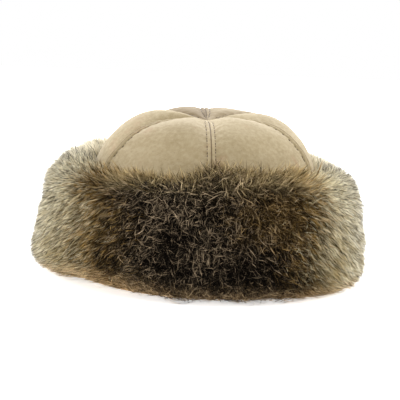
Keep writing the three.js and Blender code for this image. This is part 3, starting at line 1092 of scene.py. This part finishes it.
def add_strand_cells(piece, blades, rows, triangles):
    """A UV map that gives each blade a cell of its own in a square sheet of cells, its root at the cell's
    lower edge and its end at the upper one."""
    side = int(np.ceil(np.sqrt(blades)))
    cell = np.arange(blades)
    corner = np.stack([cell % side, cell // side], 1) / side
    share = np.repeat(np.arange(rows - 1) / (rows - 1), 2)
    left_right = np.tile(CELL_SIDES, rows - 1)
    local = np.concatenate([np.stack([left_right, CELL_FOOT + CELL_RISE * share], 1), [CELL_END]])
    place = (corner[:, None] + local / side).reshape(-1, 2)
    layer = piece.data.uv_layers.new(name="OFBake")
    layer.data.foreach_set("uv", place[triangles.ravel()].astype(np.float32).ravel())


# Towards the far sides and back the hair turns paler, nearly white: partly the pelt's paler flanks, partly
# painted rim light
RIM_LIT_FROM_LEFT = 46.0
RIM_LIT_FROM_RIGHT = 36.0
RIM_LIT_OVER = 52.0
LOCK_TONE = 0.72
BESIDE_MIDDLE_TONE = 0.2
# Painted light and shade: hair lighter towards the top of the cuff, darker towards its foot, most at the sides
PAINTED_TOP_LIGHT = 0.17
PALE_PAINTED_TOP_LIGHT = 0.48
TONE_LEFT = 0.12
# Lighter tone there too, partly painted rim light
SIDE_RIM_LIGHT_TONE = 0.26
# Painted light and shade at the back: its top hair lighter, with fewer dark guard hairs, and its face darker
REAR_TOP_PAINTED_LIGHT = 0.25
REAR_FACE_PAINTED_SHADE = 0.38
BEHIND_FROM = 78.0
BEHIND_TO = 115.0
TOP_FROM_ROW = 7.5
TOP_TO_ROW = 10.0
RIM_TONE = 0.45
GUARD_PALE = 0.5
GUARD_TONE = 0.5
GUARD_DARK = 0.8
# Fewer dark guard hairs on the back's top, as part of its painted light
GUARD_DARK_LESS = 0.74
RUST_MIDDLE = 0.75
DARK_WISPS = 0.2
DARK_TUFT = 0.5
DARK_TUFT_WIDTH = 3.5
TONE_BROAD = 0.15
TONE_BROAD_SIZE = 40.0
BROAD_IN_DARK = 0.4
RIM_LIT_BLUR = 5
PALE_BLUR_TURN = 6
PALE_BLUR_HEIGHT = 5
TONE_BROAD_SEED = 41
RUST_BLUR = 0.5
RUST_UNTIL = (3.0, 4.6)
RUST_LEAST = 0.45
GUARD_WIDTH = 0.65
WISP_WIDER = 0.3
WILD_SLIMMER = 0.3
LIGHT_WIDER = 0.5
DARK_SLIMMER = 0.4
DARK_WISP_TAN = 0.1
WISP_TAN_LEAST = 0.6


def make_fur(name, first, last, locks, shares, material):
    """One panel of the pile, and the facts its colour is worked out from at every point."""
    draw = np.random.default_rng(sum(ord(letter) for letter in name))
    azimuth, row = lock_places(first, last, locks)
    hairs = hair_lines(azimuth, row, shares, draw)
    line, normal, hair_azimuth, hair_row, wild, fringe, guard, wisp, lock = hairs
    shape = hair_azimuth.shape
    width = draw.uniform(*HAIR_WIDTH, shape) * np.where(guard, GUARD_WIDTH, 1)
    width = width * (1 + WISP_WIDER * wisp - WILD_SLIMMER * wild)
    rows = len(shares)
    per_blade = 2 * rows - 1
    along = np.concatenate([np.repeat(np.array(shares)[:-1], 2), [1]])
    near = hair_azimuth + draw.normal(0, PALE_BLUR_TURN, shape)
    pale = paleness(near, line[..., -1, 2] + draw.normal(0, PALE_BLUR_HEIGHT, shape))
    # Paler towards the far sides and back: partly the pelt, partly painted rim light
    rim_lit_from = np.where(hair_azimuth > 0, RIM_LIT_FROM_RIGHT, RIM_LIT_FROM_LEFT)
    off_front = np.abs(hair_azimuth + draw.normal(0, RIM_LIT_BLUR, shape))
    pale_rim_lit = smoothstep(off_front, rim_lit_from, rim_lit_from + RIM_LIT_OVER)
    broad = TONE_BROAD * ripple(line[..., -1, :], TONE_BROAD_SIZE, TONE_BROAD_SEED)
    broad = broad * (BROAD_IN_DARK + (1 - BROAD_IN_DARK) * pale)
    lock_tone = draw.random(locks)[lock]
    own_tone = draw.random(shape)
    beside_middle = BESIDE_MIDDLE_TONE * (1 - wild) * (1 - pale)
    # Painted light and shade: lighter towards the top, darker towards the foot
    rise = PAINTED_TOP_LIGHT + (PALE_PAINTED_TOP_LIGHT - PAINTED_TOP_LIGHT) * pale
    tone_and_painted_light = rise * (line[..., -1, 2] / CUFF_HEIGHT - 0.5)
    tone_and_painted_light = tone_and_painted_light - TONE_LEFT * np.sin(np.radians(hair_azimuth)) * (1 - pale) * (1 - fringe)
    behind = smoothstep(np.abs(hair_azimuth), BEHIND_FROM, BEHIND_TO)
    on_top = smoothstep(hair_row, TOP_FROM_ROW, TOP_TO_ROW)
    # Painted rim light at the sides, painted light on the back's top and painted shade on its face
    tone_and_painted_light = tone_and_painted_light + pale_rim_lit * SIDE_RIM_LIGHT_TONE + behind * (REAR_TOP_PAINTED_LIGHT * on_top - REAR_FACE_PAINTED_SHADE * (1 - on_top))
    rust_row = hair_row + draw.normal(0, RUST_BLUR, shape)
    rust = (1 - smoothstep(rust_row, *RUST_UNTIL)) * draw.uniform(RUST_LEAST, 1, shape)
    rust = rust * (RUST_MIDDLE + (1 - RUST_MIDDLE) * (1 - wild))
    tone = own_tone + (lock_tone - own_tone) * LOCK_TONE * (1 - wild) + broad + beside_middle + tone_and_painted_light
    tone = tone + RIM_TONE * rust
    dark_guard = guard & (draw.random(shape) < (1 - wild) * (GUARD_DARK - GUARD_DARK_LESS * behind * on_top))
    pale = np.where(dark_guard, GUARD_PALE * pale, pale)
    tone = np.where(dark_guard, GUARD_TONE * own_tone, np.clip(tone, 0, 1))
    width = width * (1 + wild * (LIGHT_WIDER * tone - DARK_SLIMMER))
    points, triangles = hair_blades(line, normal, width, shares, draw)
    dark_wisp = draw.random(shape) < DARK_WISPS + DARK_TUFT * np.exp(-((hair_azimuth / DARK_TUFT_WIDTH) ** 2))
    wisp_tan = np.where(dark_wisp, DARK_WISP_TAN, draw.uniform(WISP_TAN_LEAST, 1, shape))
    tan = fringe * np.where(wisp, wisp_tan, draw.random(shape) ** 2)

    def each_point(values):
        return np.repeat(values.ravel(), per_blade)

    facts = {
        "along": np.tile(along, len(line)),
        "pale": each_point(pale),
        "pale_rim_lit": each_point(pale_rim_lit),
        "tone": each_point(tone),
        "tan": each_point(tan),
        "rust": each_point(rust),
    }
    panel = add_mesh(name, points.reshape(-1, 3) + middle, triangles, facts)
    add_strand_cells(panel, len(line), rows, triangles)
    panel.data.materials.append(material)
    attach(panel, "root")


DARK_ROOT = 0x070503
DARK_END_LOW = 0x0E0A06
DARK_END_HIGH = 0xC4AC8C
GOLD_ROOT = 0x1E1508
GOLD_END = 0xC8A05C
PALE_ROOT = 0x7E6C46
PALE_END_LOW = 0xC4AE7C
PALE_END_HIGH = 0xFFF8D8
# Nearly white at the far sides and back: partly the pelt, partly painted rim light
PALE_RIM_LIT_ROOT = 0xA89C7C
PALE_RIM_LIT_END_LOW = 0xB4A886
PALE_RIM_LIT_END_HIGH = 0xFFFAEA
TAN_ROOT = 0x6A5434
TAN_END_LOW = 0x44321C
TAN_END_HIGH = 0xE4CC96
RUST_END_LOW = 0x4A321A
RUST_END_HIGH = 0xFFD8A0
# name, fact, from, to, most, easing: a share that rises from 0 to its most as a fact goes from one to another
HAIR_SHARES = [
    ("few_light", "tone", 0.74, 1.05, 1.0, "SMOOTHSTEP"),
    ("half_light", "tone", 0.3, 0.95, 1.0, "SMOOTHSTEP"),
    ("golden", "pale", 0.0, 0.5, 1.0, "LINEAR"),
    ("paler", "pale", 0.5, 1.0, 1.0, "LINEAR"),
    ("part_tan", "tan", 0.0, 1.0, 0.9, "LINEAR"),
    ("part_rust", "rust", 0.0, 1.0, 0.8, "LINEAR"),
    ("lightened", "along", 0.35, 0.85, 1.0, "SMOOTHSTEP"),
]
# name, share, colour where the share is 0, colour where it is 1: each may be one that stands above it
HAIR_COLOURS = [
    ("dark_end", "few_light", DARK_END_LOW, DARK_END_HIGH),
    ("gold_end", "half_light", GOLD_ROOT, GOLD_END),
    ("pale_end", "tone", PALE_END_LOW, PALE_END_HIGH),
    ("pale_rim_lit_end", "tone", PALE_RIM_LIT_END_LOW, PALE_RIM_LIT_END_HIGH),
    ("tan_end", "tone", TAN_END_LOW, TAN_END_HIGH),
    ("rust_end", "tone", RUST_END_LOW, RUST_END_HIGH),
    ("side_end", "pale_rim_lit", "pale_end", "pale_rim_lit_end"),
    ("front_end", "golden", "dark_end", "gold_end"),
    ("any_end", "paler", "front_end", "side_end"),
    ("crown_end", "part_tan", "any_end", "tan_end"),
    ("end", "part_rust", "crown_end", "rust_end"),
    ("side_root", "pale_rim_lit", PALE_ROOT, PALE_RIM_LIT_ROOT),
    ("front_root", "golden", DARK_ROOT, GOLD_ROOT),
    ("any_root", "paler", "front_root", "side_root"),
    ("root", "part_tan", "any_root", TAN_ROOT),
    ("hair", "lightened", "root", "end"),
]


def banded_hair():
    """Undyed guard hair: each hair is dark at its root and lighter at its end, so the pile is deep and
    streaked. Its colour is mixed from root to end, and from the dark panel to the pale sides, with tan
    along the crown and rust along the foot. A little gloss lies along the hairs."""
    material, tree = new_material("banded_guard_hair")
    found = {
        fact: add(tree, "ShaderNodeAttribute", attribute_name=fact).outputs["Fac"]
        for fact in ("along", "pale", "pale_rim_lit", "tone", "tan", "rust")
    }
    for name, fact, low, high, most, easing in HAIR_SHARES:
        share = add(tree, "ShaderNodeMapRange",
                    {0: found[fact], 1: low, 2: high, 4: most}, interpolation_type=easing)
        found[name] = share.outputs[0]
    for name, share, *ends in HAIR_COLOURS:
        low, high = (found[end] if end in found else linear(end) for end in ends)
        colour = add(tree, "ShaderNodeMix", {0: found[share], 6: low, 7: high}, data_type="RGBA")
        found[name] = colour.outputs[2]
    surface = add(tree, "ShaderNodeBsdfPrincipled", {
        "Base Color": found["hair"],
        "Roughness": 0.7,
        "Specular IOR Level": 0.03,
    })
    add(tree, "ShaderNodeOutputMaterial", {"Surface": surface.outputs[0]})
    return material


hair = banded_hair()
for panel_name, first_azimuth, last_azimuth, lock_count, hair_rows in FUR_PANELS:
    make_fur(panel_name, first_azimuth, last_azimuth, lock_count, hair_rows, hair)


# Floor and light: a plain white floor under the hat, a white room, and soft lamps behind it and at both
# sides of its back.
FLOOR_HALF = 3.0
FLOOR_COLOUR = 0xF7F7F6
FLOOR_GLOW = 0.7
LAMPS = [
    ("lamp_behind", (0.0, 1.5, 1.2), 1.4, 50.0),
    ("lamp_back_left", (-1.3, 0.6, 0.7), 0.9, 10.0),
    ("lamp_back_right", (1.3, 0.6, 0.7), 0.9, 12.0),
]
WORLD_STRENGTH = 1.0


def make_floor():
    """A square of white floor round the hat that glows a little, so that only soft shadows show."""
    corners = np.array([(-1, -1, 0), (1, -1, 0), (1, 1, 0), (-1, 1, 0)]) * FLOOR_HALF / MILLIMETRE
    floor = add_mesh("floor", corners, np.array([(0, 1, 2), (0, 2, 3)]), smooth=False)
    material, tree = new_material("white_floor")
    surface = add(tree, "ShaderNodeBsdfPrincipled",
                  {"Base Color": linear(FLOOR_COLOUR), "Roughness": 0.9, "Specular IOR Level": 0.1,
                   "Emission Color": (1, 1, 1, 1), "Emission Strength": FLOOR_GLOW})
    add(tree, "ShaderNodeOutputMaterial", {"Surface": surface.outputs[0]})
    floor.data.materials.append(material)


def make_lamp(name, place, size, power):
    """A square soft lamp that faces the hat."""
    data = bpy.data.lights.new(name, "AREA")
    data.size = size
    data.energy = power
    lamp = bpy.data.objects.new(name, data)
    lamp.location = place
    lamp.rotation_euler = (Vector(place) - CAMERA_AIM).to_track_quat("Z", "Y").to_euler()
    bpy.context.scene.collection.objects.link(lamp)


make_floor()
for lamp_name, lamp_place, lamp_size, lamp_power in LAMPS:
    make_lamp(lamp_name, lamp_place, lamp_size, lamp_power)
world = bpy.data.worlds.new("white_room")
world.use_nodes = True
world.node_tree.nodes["Background"].inputs["Color"].default_value = (1, 1, 1, 1)
world.node_tree.nodes["Background"].inputs["Strength"].default_value = WORLD_STRENGTH
bpy.context.scene.world = world
bpy.context.scene.view_settings.view_transform = "Standard"
bpy.context.scene.view_settings.look = "None"
